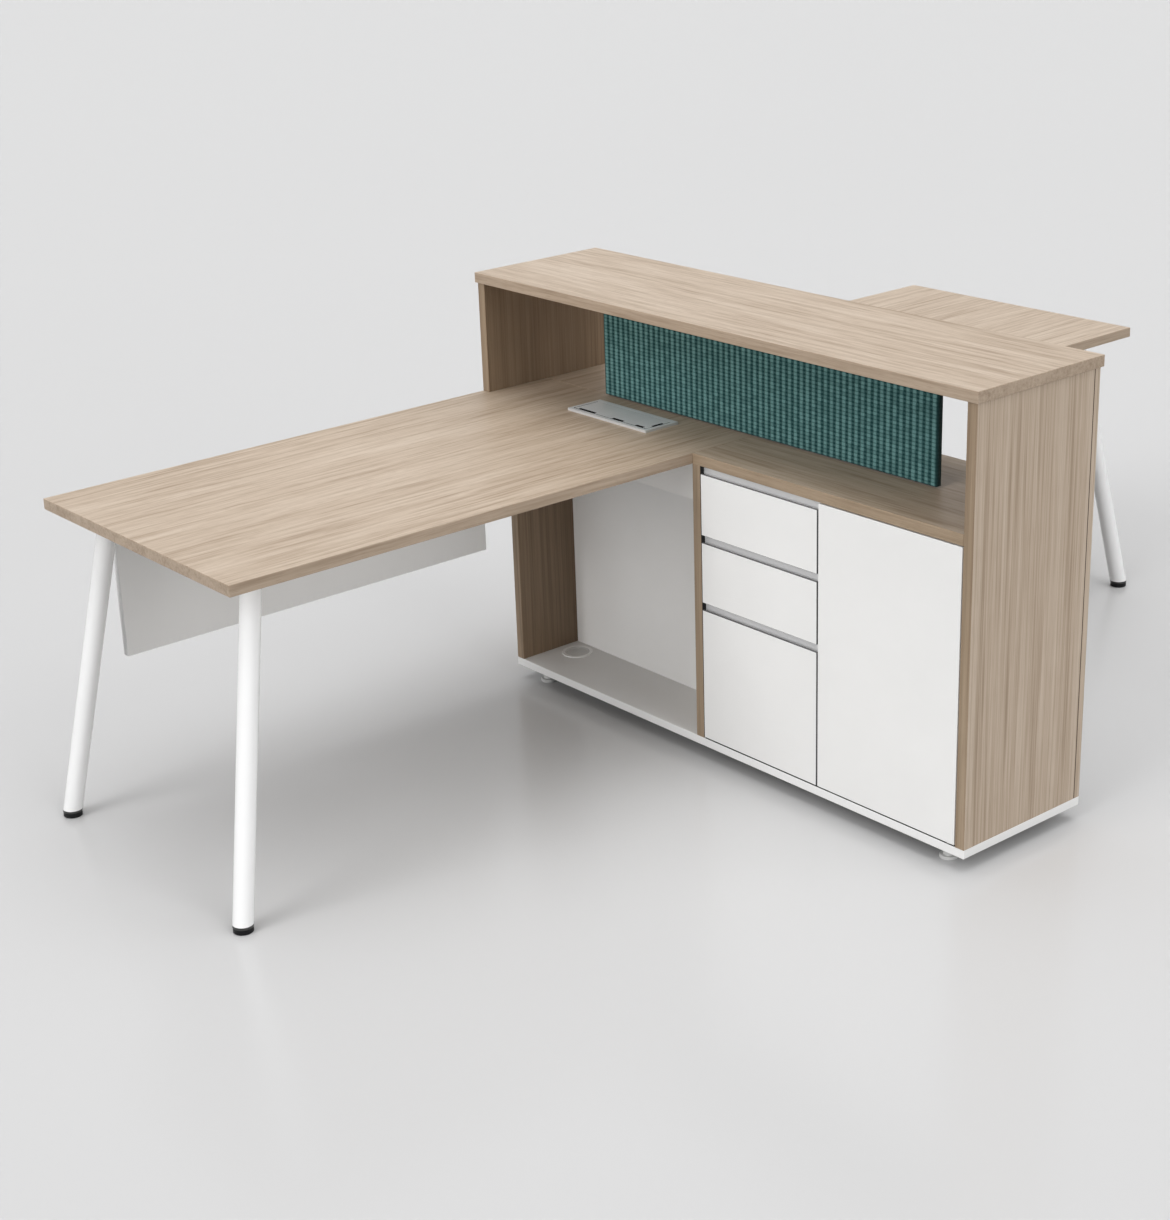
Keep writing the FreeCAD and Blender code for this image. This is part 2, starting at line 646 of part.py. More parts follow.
def tube_section(half_width, half_height):
    """Outer and inner corners of a rectangular tube about its middle."""
    corners = []
    for wall in ("0", "tube_wall"):
        u, v = minus(half_width, wall), minus(half_height, wall)
        corners.append((("-(%s)" % u, u), ("-(%s)" % v, v)))
    return corners


def tube(name, role, half_width, half_height, length, x, y, z):
    """A straight rectangular tube carried both ways along the normal of an origin plane."""
    body = new_body(name, x, y, z)
    sketch = sketch_on(body, role)
    for u, v in tube_section(half_width, half_height):
        rectangle(sketch, u, v)
    pad(body, sketch, length, symmetric=True)
    return body


glide = [
    ("0", "0"),
    ("glide_radius - glide_round", "0"),
    ("glide_radius", "glide_round"),
    ("glide_radius", "glide_height - glide_round"),
    ("glide_radius - glide_round", "glide_height"),
    ("stem_radius", "glide_height"),
    ("stem_radius", "glide_height + stem_length"),
    ("0", "glide_height + stem_length"),
]
angle = [
    ("0", "0"),
    ("angle_leg", "0"),
    ("angle_leg", "-angle_sheet"),
    ("angle_sheet", "-angle_sheet"),
    ("angle_sheet", "-angle_leg"),
    ("0", "-angle_leg"),
]
cross_rails, beams, angles, modules = [], [], [], []
for side in SIDES:
    # Board with its cut-out for the power box
    y = span(side, "0", "desk_length")
    top = board("desk_top_" + side, ("left", "seam"), y, ("under", "desk_height"))
    cutout = sketch_on(top, "XY_Plane", "board")
    half_length = "opening_length / 2 + collar_wall + cutout_play"
    half_width = "opening_width / 2 + collar_wall + cutout_play"
    middle = minus(out(side, "power_out"), y[0])
    rectangle(cutout, (minus("power_inset", half_length), plus("power_inset", half_length)),
              (minus(middle, half_width), plus(middle, half_width)))
    pocket(top, cutout, "board")
    keep(top, "desk_top_" + side)

    # Legs, glides and the tubes between them
    lean_back = out("b" if side == "a" else "a", "lean_end")
    for hand, x, inward in (("left", "left + leg_side", "1"), ("right", "seam - leg_side", "-1")):
        leg("leg_%s_%s" % (hand, side), side, x, inward, lean_back)
        name = "glide_%s_%s" % (hand, side)
        keep(turned(name, glide, x, out(side, "desk_length + leg_out"), "0"), name)
    cross_length = "desk_width - 2 * (leg_top_side + leg_diameter / 2 + cross_play)"
    cross_rails.append(tube("cross_rail_" + side, "YZ_Plane", "cross_width / 2", "cross_height / 2",
                            cross_length, "left + desk_width / 2", out(side, "leg_top_out"),
                            "plates_under - cross_height / 2"))
    beam_near = "rail_face"
    beam_far = "leg_top_out - cross_width / 2"
    for hand, x in (("left", "left + beam_inset"), ("right", "seam - beam_inset")):
        beams.append(tube("side_beam_%s_%s" % (hand, side), "XZ_Plane", "beam_width / 2", "beam_height / 2",
                          minus(beam_far, beam_near), x, out(side, "(%s + %s) / 2" % (beam_near, beam_far)),
                          "under - beam_height / 2"))

    # Modesty panel on its fixing angles
    near = "cabinet_depth / 2 + modesty_near"
    far = "desk_length - modesty_end"
    inner = "left + modesty_inset + liner"
    keep(board("modesty_panel_" + side, ("left + modesty_inset", inner), span(side, near, far),
               ("under - modesty_height", "under")), "modesty_panel_" + side)
    for number, at in enumerate((plus(near, "angle_inset"), "(%s + %s) / 2" % (near, far),
                                 minus(far, "angle_inset")), 1):
        angles.append(extruded("angle_%s_%d" % (side, number), "XZ_Plane", angle, "angle_width", inner,
                               out(side, at), "under"))

    # Power box: flanged frame, hinged lid, tray and sockets
    y = out(side, "power_out")
    frame = new_body("power_frame_" + side, "power_x", y, "desk_height")
    opening = (("-opening_length / 2", "opening_length / 2"), ("-opening_width / 2", "opening_width / 2"))
    flange = sketch_on(frame, "XY_Plane")
    rectangle(flange, ("-power_length / 2", "power_length / 2"), ("-power_width / 2", "power_width / 2"))
    rectangle(flange, *opening)
    pad(frame, flange, "flange_height")
    collar = sketch_on(frame, "XY_Plane", "-board")
    rectangle(collar, ("-opening_length / 2 - collar_wall", "opening_length / 2 + collar_wall"),
              ("-opening_width / 2 - collar_wall", "opening_width / 2 + collar_wall"))
    rectangle(collar, *opening)
    pad(frame, collar, "board")
    rests = sketch_on(frame, "XY_Plane", "flange_height - lid_thickness - loose_gap - lid_rest_height")
    for end in ("-1", "1"):
        rectangle(rests, ("%s * opening_length / 2" % end, "%s * (opening_length / 2 - lid_rest)" % end),
                  span(side, "side_notch / 2 + lid_gap", "opening_width / 2 - notch_depth - lid_gap"))
    pad(frame, rests, "lid_rest_height")
    lid_axis = out(side, "lid_pivot_in - lid_width / 2")
    eyes = sketch_on(frame, "YZ_Plane")
    circle(eyes, lid_axis, "flange_height - lid_thickness / 2", "lid_pin_radius + running_gap")
    pocket(frame, eyes, "lid_length + 2 * lid_pin_reach + 2 * loose_gap", symmetric=True)
    keep(frame, "power_frame_" + side)

    lid = new_body("power_lid_" + side, "power_x", y, "lid_under")
    plate = sketch_on(lid, "XY_Plane")
    rectangle(plate, ("-lid_length / 2", "lid_length / 2"), ("-lid_width / 2", "lid_width / 2"))
    pad(lid, plate, "lid_thickness")
    notches = sketch_on(lid, "XY_Plane", "lid_thickness")
    edge = span(side, "lid_width / 2 - notch_depth", "lid_width / 2 + lid_gap")
    for at, width in (("-first_notch", "long_notch"), ("second_notch", "short_notch"),
                      ("third_notch", "small_notch")):
        rectangle(notches, (minus(at, width + " / 2"), plus(at, width + " / 2")), edge)
    rectangle(notches, ("lid_length / 2 - notch_depth", "lid_length / 2 + lid_gap"),
              ("-side_notch / 2", "side_notch / 2"))
    pocket(lid, notches, "lid_thickness")
    pins = sketch_on(lid, "YZ_Plane")
    circle(pins, lid_axis, "lid_thickness / 2", "lid_pin_radius")
    pad(lid, pins, "lid_length + 2 * lid_pin_reach", symmetric=True)
    keep(lid, "power_lid_" + side)

    well = new_body("power_well_" + side, "power_x", y, "under - well_depth")
    shell = sketch_on(well, "XY_Plane")
    half_length = "opening_length / 2 + collar_wall"
    half_width = "opening_width / 2 + collar_wall"
    rectangle(shell, ("-(%s)" % half_length, half_length), ("-(%s)" % half_width, half_width))
    pad(well, shell, "well_depth")
    hollow = sketch_on(well, "XY_Plane", "well_depth")
    rectangle(hollow, (minus("well_wall", half_length), minus(half_length, "well_wall")),
              (minus("well_wall", half_width), minus(half_width, "well_wall")))
    pocket(well, hollow, "well_depth - well_wall")
    keep(well, "power_well_" + side)
    for number, step in enumerate((-1.5, -0.5, 0.5, 1.5), 1):
        x = plus("power_x", "%s * socket_pitch" % step)
        floor = "under - well_depth + well_wall"
        modules.append(board("socket_%s_%d" % (side, number),
                             (minus(x, "socket_size / 2"), plus(x, "socket_size / 2")),
                             (minus(y, "socket_size / 2"), plus(y, "socket_size / 2")),
                             (floor, plus(floor, "socket_height"))))
group("cross_rails", cross_rails)
group("side_beams", beams)
group("modesty_angles", angles)
group("socket_modules", modules)

# Build, test and write

doc.recompute()
for thing in doc.Objects:
    if "Invalid" in thing.State or "Error" in thing.State:
        raise RuntimeError("%s did not build: %s" % (thing.Name, thing.State))
    if thing.TypeId == "PartDesign::Pocket" and thing.Shape.Volume >= thing.BaseFeature.Shape.Volume - 1e-6:
        raise RuntimeError("%s cuts nothing" % thing.Name)
for part in subparts:
    if part.Shape.isNull() or not part.Shape.isValid():
        raise RuntimeError("%s is not a valid solid" % part.Label)
os.makedirs("parts", exist_ok=True)
for part in subparts:
    part.Shape.exportStep("parts/%s.step" % part.Label)
print("%d sub-parts written" % len(subparts))
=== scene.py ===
import functools
import math

import bpy
import numpy as np
from mathutils import Matrix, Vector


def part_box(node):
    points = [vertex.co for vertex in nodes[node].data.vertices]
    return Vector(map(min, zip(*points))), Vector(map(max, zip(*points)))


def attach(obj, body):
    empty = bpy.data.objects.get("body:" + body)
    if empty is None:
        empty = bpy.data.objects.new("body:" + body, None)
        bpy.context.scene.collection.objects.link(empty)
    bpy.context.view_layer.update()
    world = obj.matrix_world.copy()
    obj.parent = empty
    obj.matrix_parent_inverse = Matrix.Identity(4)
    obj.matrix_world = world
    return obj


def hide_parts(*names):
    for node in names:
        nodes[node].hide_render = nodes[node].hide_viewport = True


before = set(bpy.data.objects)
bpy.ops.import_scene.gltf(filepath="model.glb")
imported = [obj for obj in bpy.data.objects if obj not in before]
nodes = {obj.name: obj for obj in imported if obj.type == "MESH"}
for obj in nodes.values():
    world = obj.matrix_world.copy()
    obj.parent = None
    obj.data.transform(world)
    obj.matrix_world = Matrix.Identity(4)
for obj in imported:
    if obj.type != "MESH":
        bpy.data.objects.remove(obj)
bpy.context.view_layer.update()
scene = bpy.context.scene
MM = 0.001
AXES = ("X", "Y", "Z")


# Shader building blocks

# Sockets of the Mix node that carry colours
MIX_AMOUNT, MIX_FIRST, MIX_SECOND, MIX_RESULT = 0, 6, 7, 2
# Ranges that most of a noise's values lie in, and their middle
NOISE_CORE, NOISE_REACH, NOISE_MIDDLE = (0.35, 0.65), (0.3, 0.7), 0.5


def add(tree, kind, inputs=None, **settings):
    """One shader node; an input takes a value or another node's output."""
    made = tree.nodes.new(kind)
    for key, value in settings.items():
        setattr(made, key, value)
    for key, value in (inputs or {}).items():
        if isinstance(value, bpy.types.NodeSocket):
            tree.links.new(value, made.inputs[key])
        else:
            made.inputs[key].default_value = value
    return made


def feed(tree, sockets, **outputs):
    """Outputs joined to the named sockets of a shader or of a group's end."""
    for key, output in outputs.items():
        tree.links.new(output, sockets[key.replace("_", " ")])


def calc(tree, operation, *values):
    """A Math node's result on numbers or outputs."""
    return add(tree, "ShaderNodeMath", dict(enumerate(values)), operation=operation).outputs[0]


def times(tree, first, second):
    """Two numbers or outputs multiplied."""
    return calc(tree, "MULTIPLY", first, second)


def total(tree, values):
    """Outputs added up, from the first to the last."""
    return functools.reduce(functools.partial(calc, tree, "ADD"), values)


def between(tree, value, low, high):
    """1 where a value lies between two limits, otherwise 0."""
    above = calc(tree, "GREATER_THAN", value, low)
    below = calc(tree, "LESS_THAN", value, high)
    return times(tree, above, below)


def inside(tree, x, y, corners):
    """1 inside a rectangle that its low and high corners in X and Y give, otherwise 0."""
    (low_x, low_y), (high_x, high_y) = corners
    return times(tree, between(tree, x, low_x, high_x), between(tree, y, low_y, high_y))


def blend_colour(tree, amount, first, second):
    """A colour between two colours, by an amount from 0 to 1."""
    keys = {MIX_AMOUNT: amount, MIX_FIRST: first, MIX_SECOND: second}
    return add(tree, "ShaderNodeMix", keys, data_type="RGBA").outputs[MIX_RESULT]


def remap(tree, value, low, high, new_low=0.0, new_high=1.0):
    """A value carried from one range to another and held there."""
    keys = {"Value": value, "From Min": low, "From Max": high, "To Min": new_low, "To Max": new_high}
    return add(tree, "ShaderNodeMapRange", keys).outputs[0]


def noise(tree, vector, scale, detail=2.0, roughness=0.5):
    """Fractal noise from 0 to 1 at so many waves per metre."""
    keys = {"Vector": vector, "Scale": scale, "Detail": detail, "Roughness": roughness}
    return add(tree, "ShaderNodeTexNoise", keys).outputs[0]


def combine(tree, x, y, z):
    """A vector from three numbers or outputs."""
    return add(tree, "ShaderNodeCombineXYZ", {0: x, 1: y, 2: z}).outputs[0]


def split(tree, vector):
    """A vector's X, Y and Z."""
    return add(tree, "ShaderNodeSeparateXYZ", {0: vector}).outputs


# Groups that more than one finish uses

SURFACE = (("Color", "Color"), ("Height", "Float"), ("Roughness", "Float"))
# Each layer of oak grain: waves per metre across and along the board, detail and roughness
GRAIN_LAYERS = {
    "band": (12.0, 0.7, 2.0, 0.5),
    "streak": (60.0, 2.4, 2.0, 0.6),
    "line": (150.0, 5.0, 2.0, 0.6),
    "hair": (420.0, 14.0, 1.0, 0.5),
    "pore": (800.0, 30.0, 1.0, 0.5),
}
GRAIN_SHARES = {"band": 0.18, "streak": 0.32, "line": 0.34, "hair": 0.16}
DARK_TONE, MIDDLE_TONE, PALE_TONE = 0.38, 0.50, 0.60
SWAY_ACROSS, SWAY_ALONG, SWAY_WIDTH = 3.0, 1.1, 0.014
PORE_LEVELS, PORE_DEPTH, HAIR_HEIGHT = (0.58, 0.72), 0.55, 0.5
OAK_ROUGHNESS = (0.50, 0.40)
# Waves per metre across and along brushed metal, and the shares of its tone
BRUSH_ACROSS, BRUSH_ALONG = 2600.0, 14.0
HAIR_SHARE, CLOUD_SHARE = 0.6, 0.4
METAL_ROUGHNESS = (0.58, 0.44)


def new_group(name, inputs):
    """A group with named inputs that puts out a surface's colour, height and roughness."""
    tree = bpy.data.node_groups.new(name, "ShaderNodeTree")
    for label, kind, value in inputs:
        socket = tree.interface.new_socket(label, in_out="INPUT", socket_type="NodeSocket" + kind)
        if value is not None:
            socket.default_value = value
    for label, kind in SURFACE:
        tree.interface.new_socket(label, in_out="OUTPUT", socket_type="NodeSocket" + kind)
    given = tree.nodes.new("NodeGroupInput").outputs
    out = tree.nodes.new("NodeGroupOutput").inputs
    return tree, given, out


def place_group(tree, group, inputs):
    """A group placed in a material with its own values."""
    return add(tree, "ShaderNodeGroup", inputs, node_tree=group).outputs


def grain_group():
    """Straight oak grain: noise stretched along the board in bands, streaks, lines, hairs and pores.

    The layers' shares add up to a tone, which runs from the dark colour over the middle one to the pale
    one. A slow sway bends the grain a little, and the pores are dark pits.
    """
    tree, given, out = new_group("oak_grain", [
        ("Across", "Float", 0.0), ("Along", "Float", 0.0), ("Through", "Float", 0.0),
        ("Seed", "Float", 0.0), ("Pale", "Color", (0.55, 0.46, 0.37, 1)),
        ("Middle", "Color", (0.50, 0.41, 0.33, 1)), ("Dark", "Color", (0.42, 0.34, 0.26, 1))])
    slow = combine(tree, times(tree, given["Across"], SWAY_ACROSS),
                   times(tree, given["Along"], SWAY_ALONG), given["Seed"])
    drift = calc(tree, "SUBTRACT", noise(tree, slow, scale=1.0, detail=1.0), NOISE_MIDDLE)
    across = calc(tree, "ADD", given["Across"], times(tree, drift, SWAY_WIDTH))

    def stretched(wide, long, detail, rough):
        """Noise with so many waves per metre across the grain and along it."""
        through = calc(tree, "ADD", times(tree, given["Through"], wide), given["Seed"])
        place = combine(tree, times(tree, across, wide), times(tree, given["Along"], long), through)
        return noise(tree, place, 1.0, detail, rough)

    layer = {name: stretched(*values) for name, values in GRAIN_LAYERS.items()}
    tone = total(tree, [times(tree, layer[name], share) for name, share in GRAIN_SHARES.items()])
    colour = blend_colour(tree, remap(tree, tone, DARK_TONE, MIDDLE_TONE), given["Dark"], given["Middle"])
    colour = blend_colour(tree, remap(tree, tone, MIDDLE_TONE, PALE_TONE), colour, given["Pale"])
    pits = remap(tree, layer["pore"], *PORE_LEVELS, 0.0, PORE_DEPTH)
    feed(tree, out,
         Color=blend_colour(tree, pits, colour, given["Dark"]),
         Height=calc(tree, "SUBTRACT", times(tree, layer["hair"], HAIR_HEIGHT), pits),
         Roughness=remap(tree, tone, *NOISE_REACH, *OAK_ROUGHNESS))
    return tree


def skin_group():
    """Sprayed or pressed skin: a fine ripple, faint cloudiness and patches of handling."""
    tree, given, out = new_group("skin_ripple", [
        ("Vector", "Vector", None), ("Fineness", "Float", 700.0),
        ("Tint", "Color", (0.9, 0.9, 0.9, 1)), ("Shade", "Color", (0.85, 0.85, 0.85, 1)),
        ("Smooth", "Float", 0.3), ("Dull", "Float", 0.4)])
    cloud = noise(tree, given["Vector"], scale=5.0, detail=3.0, roughness=0.55)
    touch = noise(tree, given["Vector"], scale=17.0, detail=4.0, roughness=0.6)
    spread = calc(tree, "SUBTRACT", given["Dull"], given["Smooth"])
    wear = times(tree, spread, remap(tree, touch, *NOISE_REACH))
    feed(tree, out,
         Color=blend_colour(tree, remap(tree, cloud, *NOISE_CORE), given["Tint"], given["Shade"]),
         Height=noise(tree, given["Vector"], given["Fineness"]),
         Roughness=calc(tree, "ADD", given["Smooth"], wear))
    return tree


def hairline_group():
    """Drawn or brushed metal: long hairlines along one direction, with a faint cloudiness."""
    tree, given, out = new_group("hairlines", [
        ("Across", "Float", 0.0), ("Along", "Float", 0.0), ("Through", "Float", 0.0),
        ("Bright", "Color", (0.8, 0.8, 0.8, 1)), ("Dull", "Color", (0.6, 0.6, 0.6, 1))])
    drawn = combine(tree, times(tree, given["Across"], BRUSH_ACROSS),
                    times(tree, given["Along"], BRUSH_ALONG), times(tree, given["Through"], BRUSH_ACROSS))
    hair = noise(tree, drawn, scale=1.0, detail=3.0, roughness=0.6)
    place = combine(tree, given["Across"], given["Along"], given["Through"])
    cloud = noise(tree, place, scale=12.0)
    tone = total(tree, [times(tree, hair, HAIR_SHARE), times(tree, cloud, CLOUD_SHARE)])
    feed(tree, out,
         Color=blend_colour(tree, remap(tree, tone, *NOISE_CORE), given["Dull"], given["Bright"]),
         Height=hair,
         Roughness=remap(tree, tone, *NOISE_REACH, *METAL_ROUGHNESS))
    return tree


OAK_GRAIN = grain_group()
SKIN = skin_group()
HAIRLINES = hairline_group()


# Tones and measures of the finishes


def oak_tones(pale, middle, dark):
    """One oak's three colours, under the names of the grain's inputs."""
    return {"Pale": (*pale, 1), "Middle": (*middle, 1), "Dark": (*dark, 1)}


LIGHT_OAK = oak_tones((0.595, 0.492, 0.392), (0.512, 0.408, 0.312), (0.350, 0.262, 0.185))
# Painted shade: a darker oak for the worktop under the shelf, into which the desks' tones pass towards the
# cabinet
SHADED_OAK = oak_tones((0.465, 0.378, 0.292), (0.400, 0.314, 0.232), (0.280, 0.206, 0.140))
# Painted shade: darker oaks for the faces towards +X of the left upright and of the lower left panel
SHADED_BROWN_OAK = oak_tones((0.325, 0.238, 0.162), (0.275, 0.197, 0.130), (0.205, 0.141, 0.088))
DEEP_SHADED_OAK = oak_tones((0.270, 0.192, 0.126), (0.228, 0.159, 0.101), (0.170, 0.113, 0.068))
OAK_BANDING = oak_tones((0.39, 0.295, 0.205), (0.33, 0.245, 0.165), (0.24, 0.17, 0.11))
PALE_BANDING = oak_tones((0.470, 0.370, 0.280), (0.415, 0.322, 0.240), (0.315, 0.235, 0.165))
BEECH_TONES = oak_tones((0.62, 0.44, 0.27), (0.56, 0.39, 0.23), (0.42, 0.27, 0.15))
BEECH_SEED, BANDING_SEED = 31.0, 5.0
# How much longer and narrower the streaks are than a desk's
DESK_GRAIN, UPRIGHT_GRAIN = (1.0, 1.0), (2.5, 1.5)
# Distances from the cabinet's middle plane where a desk's tone starts to darken as painted shade under the
# shelf and where that ends
SHELF_SHADE = (0.70, 0.0)
BOARD_WHITE = {"Tint": (0.905, 0.900, 0.888, 1), "Shade": (0.885, 0.880, 0.868, 1)}
# The plinth's greyer white is painted shade on its top, deep under the desks
SHADED_PLINTH_WHITE = {"Tint": (0.790, 0.785, 0.775, 1), "Shade": (0.770, 0.765, 0.755, 1)}
MELAMINE = {"Fineness": 420.0, "Smooth": 0.36, "Dull": 0.46}
# The drawer fronts' dark grey banding is painted shade in the gaps between the fronts
WHITE_BANDING, GAP_SHADE_GREY = (0.90, 0.897, 0.888, 1), (0.12, 0.12, 0.123, 1)
# The black is painted shadow in the divider's grip recesses and on the plinth under the fronts, and also the
# real black of the legs' tips
SEAM_BROWN, SHADOW_AND_TIP_BLACK = (0.075, 0.050, 0.032, 1), (0.012, 0.012, 0.012, 1)
OPENING_BLACK = (0.008, 0.008, 0.009, 1)
SEAM_HALF = 1.3 * MM
# How far a normal leans where a board's edge begins and where a face counts as facing +X, as cosines
EDGE_LEAN, END_LEAN = (0.85, 0.95), 0.5
ZINC_DARK, ZINC_BRIGHT = (0.52, 0.53, 0.54, 1), (0.70, 0.71, 0.72, 1)
ZINC_FLAKES, ZINC_ROUGHNESS = 260.0, (0.30, 0.46)

# The screen's weave, as whole counts of cords and threads
SCREEN_LOW, SCREEN_HIGH = (np.array(corner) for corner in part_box("screen_panel"))
SCREEN_CORDS, SCREEN_THREADS = 58, 31
SCREEN_RIB = (SCREEN_HIGH[0] - SCREEN_LOW[0]) / SCREEN_CORDS
SCREEN_STITCH = (SCREEN_HIGH[2] - SCREEN_LOW[2]) / SCREEN_THREADS
SCREEN_RELIEF, SCREEN_RIM = 1.8 * MM, 4 * MM
THREAD_RELIEF = 0.5
STEPS_PER_WAVE = 5
WEAVE_LIT, WEAVE_GAP = (0.167, 0.336, 0.334, 1), (0.005, 0.040, 0.042, 1)
WEAVE_FIBRE, WEAVE_EDGE = (0.030, 0.100, 0.100, 1), (0.016, 0.050, 0.052, 1)
# Waves per metre across and up the screen, and detail
PATCHES, FIBRES = (55.0, 90.0, 1.0), (420.0, 900.0, 2.0)
PATCH_SHIFT = 0.5
CORD_EDGE, CROSSING_EDGE, FIBRE_EDGE = (0.40, 0.92), (0.45, 0.95), (0.40, 0.70)
DIP_EDGE, DIP_LEVELS = (0.05, 0.75), (0.40, 1.0)
CROSSING_LEVEL, FIBRE_SHARE, EDGE_SHARE = 0.26, 0.35, 0.85
CORD_LEVELS, KNOT_LEVELS = (0.88, 1.08), (0.72, 1.22)
CLOTH_ROUGHNESS = (0.80, 0.95)


# Finishes


def new_material(name, **sockets):
    """A material with its shader; constant values sit on the shader's own sockets."""
    material = bpy.data.materials.new(name)
    material.use_nodes = True
    tree = material.node_tree
    shader = tree.nodes["Principled BSDF"]
    for key, value in sockets.items():
        shader.inputs[key.replace("_", " ")].default_value = value
    return material, tree, shader


def object_axes(tree):
    """Object coordinates in metres, whole and as X, Y and Z, with the object-space normal."""
    given = add(tree, "ShaderNodeTexCoord").outputs
    return given["Object"], split(tree, given["Object"]), given["Normal"]


def edge_mask(tree, normal, face):
    """1 on the narrow edges and bevels of a board, 0 on its two wide faces."""
    upright = calc(tree, "ABSOLUTE", split(tree, normal)[face])
    return remap(tree, upright, *EDGE_LEAN, 1.0, 0.0)


def end_mask(tree, normal):
    """1 on the faces towards the cabinet's closed end (+X), otherwise 0."""
    return calc(tree, "GREATER_THAN", split(tree, normal)["X"], END_LEAN)


def bump(tree, shader, height, strength, distance):
    """Fine relief on a shader's normal."""
    keys = {"Height": height, "Strength": strength, "Distance": distance}
    feed(tree, shader.inputs, Normal=add(tree, "ShaderNodeBump", keys).outputs[0])


def oak(name, along, face, seed, tones, reach, banding=OAK_BANDING, inner=None, seam=None, shadow_strip=None,
        shelf_shading=None):
    """Oak laminate with its grain along one axis, and browner banding on the narrow edges.

    The streaks are longer than a desk's by the first number of reach and narrower by the second. The
    faces towards +X may have darker tones, called inner, as painted shade, and black painted shadow in front
    of a given plane in Y; a dark seam may run along the plane Y = seam. Where a shade reach is given, the
    tones darken as painted shade into the worktop's from its first distance to its second, measured from the
    cabinet's middle plane.
    """
    material, tree, shader = new_material(name, Specular_IOR_Level=0.35)
    _, axis, normal = object_axes(tree)
    across = next(letter for letter in AXES if letter not in (along, face))
    # Painted shade: a desk's tones darken towards the cabinet, under the shelf
    if shelf_shading:
        amount = remap(tree, calc(tree, "ABSOLUTE", axis["Y"]), *shelf_shading)
        tones = {tone: blend_colour(tree, amount, tones[tone], SHADED_OAK[tone]) for tone in tones}
    length = calc(tree, "DIVIDE", axis[along], reach[0])
    width = times(tree, axis[across], reach[1])
    grain = {"Across": width, "Along": length, "Through": axis[face], "Seed": seed}
    board = place_group(tree, OAK_GRAIN, {**grain, **tones})
    colour = board["Color"]
    # Painted shade: darker tones on the faces towards +X
    if inner:
        shaded = place_group(tree, OAK_GRAIN, {**grain, **inner})
        colour = blend_colour(tree, end_mask(tree, normal), colour, shaded["Color"])
    # Painted shadow: black on the faces towards +X in front of the given plane in Y
    if shadow_strip is not None:
        shadowed = times(tree, end_mask(tree, normal), calc(tree, "LESS_THAN", axis["Y"], shadow_strip))
        colour = blend_colour(tree, shadowed, colour, SHADOW_AND_TIP_BLACK)
    edge = {"Across": axis[face], "Along": length, "Through": axis[across], "Seed": seed + BANDING_SEED}
    band = place_group(tree, OAK_GRAIN, {**edge, **banding})
    colour = blend_colour(tree, edge_mask(tree, normal, face), colour, band["Color"])
    if seam is not None:
        line = between(tree, axis["Y"], seam - SEAM_HALF, seam + SEAM_HALF)
        colour = blend_colour(tree, line, colour, SEAM_BROWN)
    feed(tree, shader.inputs, Base_Color=colour, Roughness=board["Roughness"])
    bump(tree, shader, board["Height"], strength=0.25, distance=0.3 * MM)
    return material


def white_board(name, face, banding=WHITE_BANDING, white=BOARD_WHITE, shadow_strip=None):
    """White melamine: a faint pressed ripple, and edge banding of its own colour.

    Its top may carry a black strip of painted shadow, inside low and high corners in X and Y that are given.
    """
    material, tree, shader = new_material(name, Specular_IOR_Level=0.4)
    place, axis, normal = object_axes(tree)
    skin = place_group(tree, SKIN, {"Vector": place, **MELAMINE, **white})
    colour = skin["Color"]
    # Painted shadow: a black strip on the top inside the given rectangle
    if shadow_strip:
        colour = blend_colour(tree, inside(tree, axis["X"], axis["Y"], shadow_strip), colour, SHADOW_AND_TIP_BLACK)
    colour = blend_colour(tree, edge_mask(tree, normal, face), colour, banding)
    feed(tree, shader.inputs, Base_Color=colour, Roughness=skin["Roughness"])
    bump(tree, shader, skin["Height"], strength=0.06, distance=0.4 * MM)
    return material


def skinned(name, tint, shade, smooth, dull, fineness, ripple, tip=None, **sockets):
    """Paint or moulded plastic with a ripple of its own, and black below the height that tip gives."""
    material, tree, shader = new_material(name, **sockets)
    place, axis, _ = object_axes(tree)
    skin = place_group(tree, SKIN, {
        "Vector": place, "Fineness": fineness, "Tint": (*tint, 1), "Shade": (*shade, 1),
        "Smooth": smooth, "Dull": dull})
    colour = skin["Color"]
    if tip is not None:
        colour = blend_colour(tree, calc(tree, "LESS_THAN", axis["Z"], tip), colour, SHADOW_AND_TIP_BLACK)
    feed(tree, shader.inputs, Base_Color=colour, Roughness=skin["Roughness"])
    bump(tree, shader, skin["Height"], strength=ripple, distance=0.3 * MM)
    return material


def brushed(name, along, bright, dull, blackened=None, **sockets):
    """Brushed or drawn metal with its hairlines along one axis.

    Its upright faces are black inside the opening that lined gives, as low and high corners in X and |Y|.
    """
    material, tree, shader = new_material(name, **sockets)
    _, axis, normal = object_axes(tree)
    across, through = (letter for letter in AXES if letter != along)
    hair = place_group(tree, HAIRLINES, {
        "Across": axis[across], "Along": axis[along], "Through": axis[through],
        "Bright": (*bright, 1), "Dull": (*dull, 1)})
    colour = hair["Color"]
    if blackened:
        opening = inside(tree, axis["X"], calc(tree, "ABSOLUTE", axis["Y"]), blackened)
        black_walls = times(tree, opening, edge_mask(tree, normal, "Z"))
        colour = blend_colour(tree, black_walls, colour, OPENING_BLACK)
    feed(tree, shader.inputs, Base_Color=colour, Roughness=hair["Roughness"])
    bump(tree, shader, hair["Height"], strength=0.05, distance=0.2 * MM)
    return material


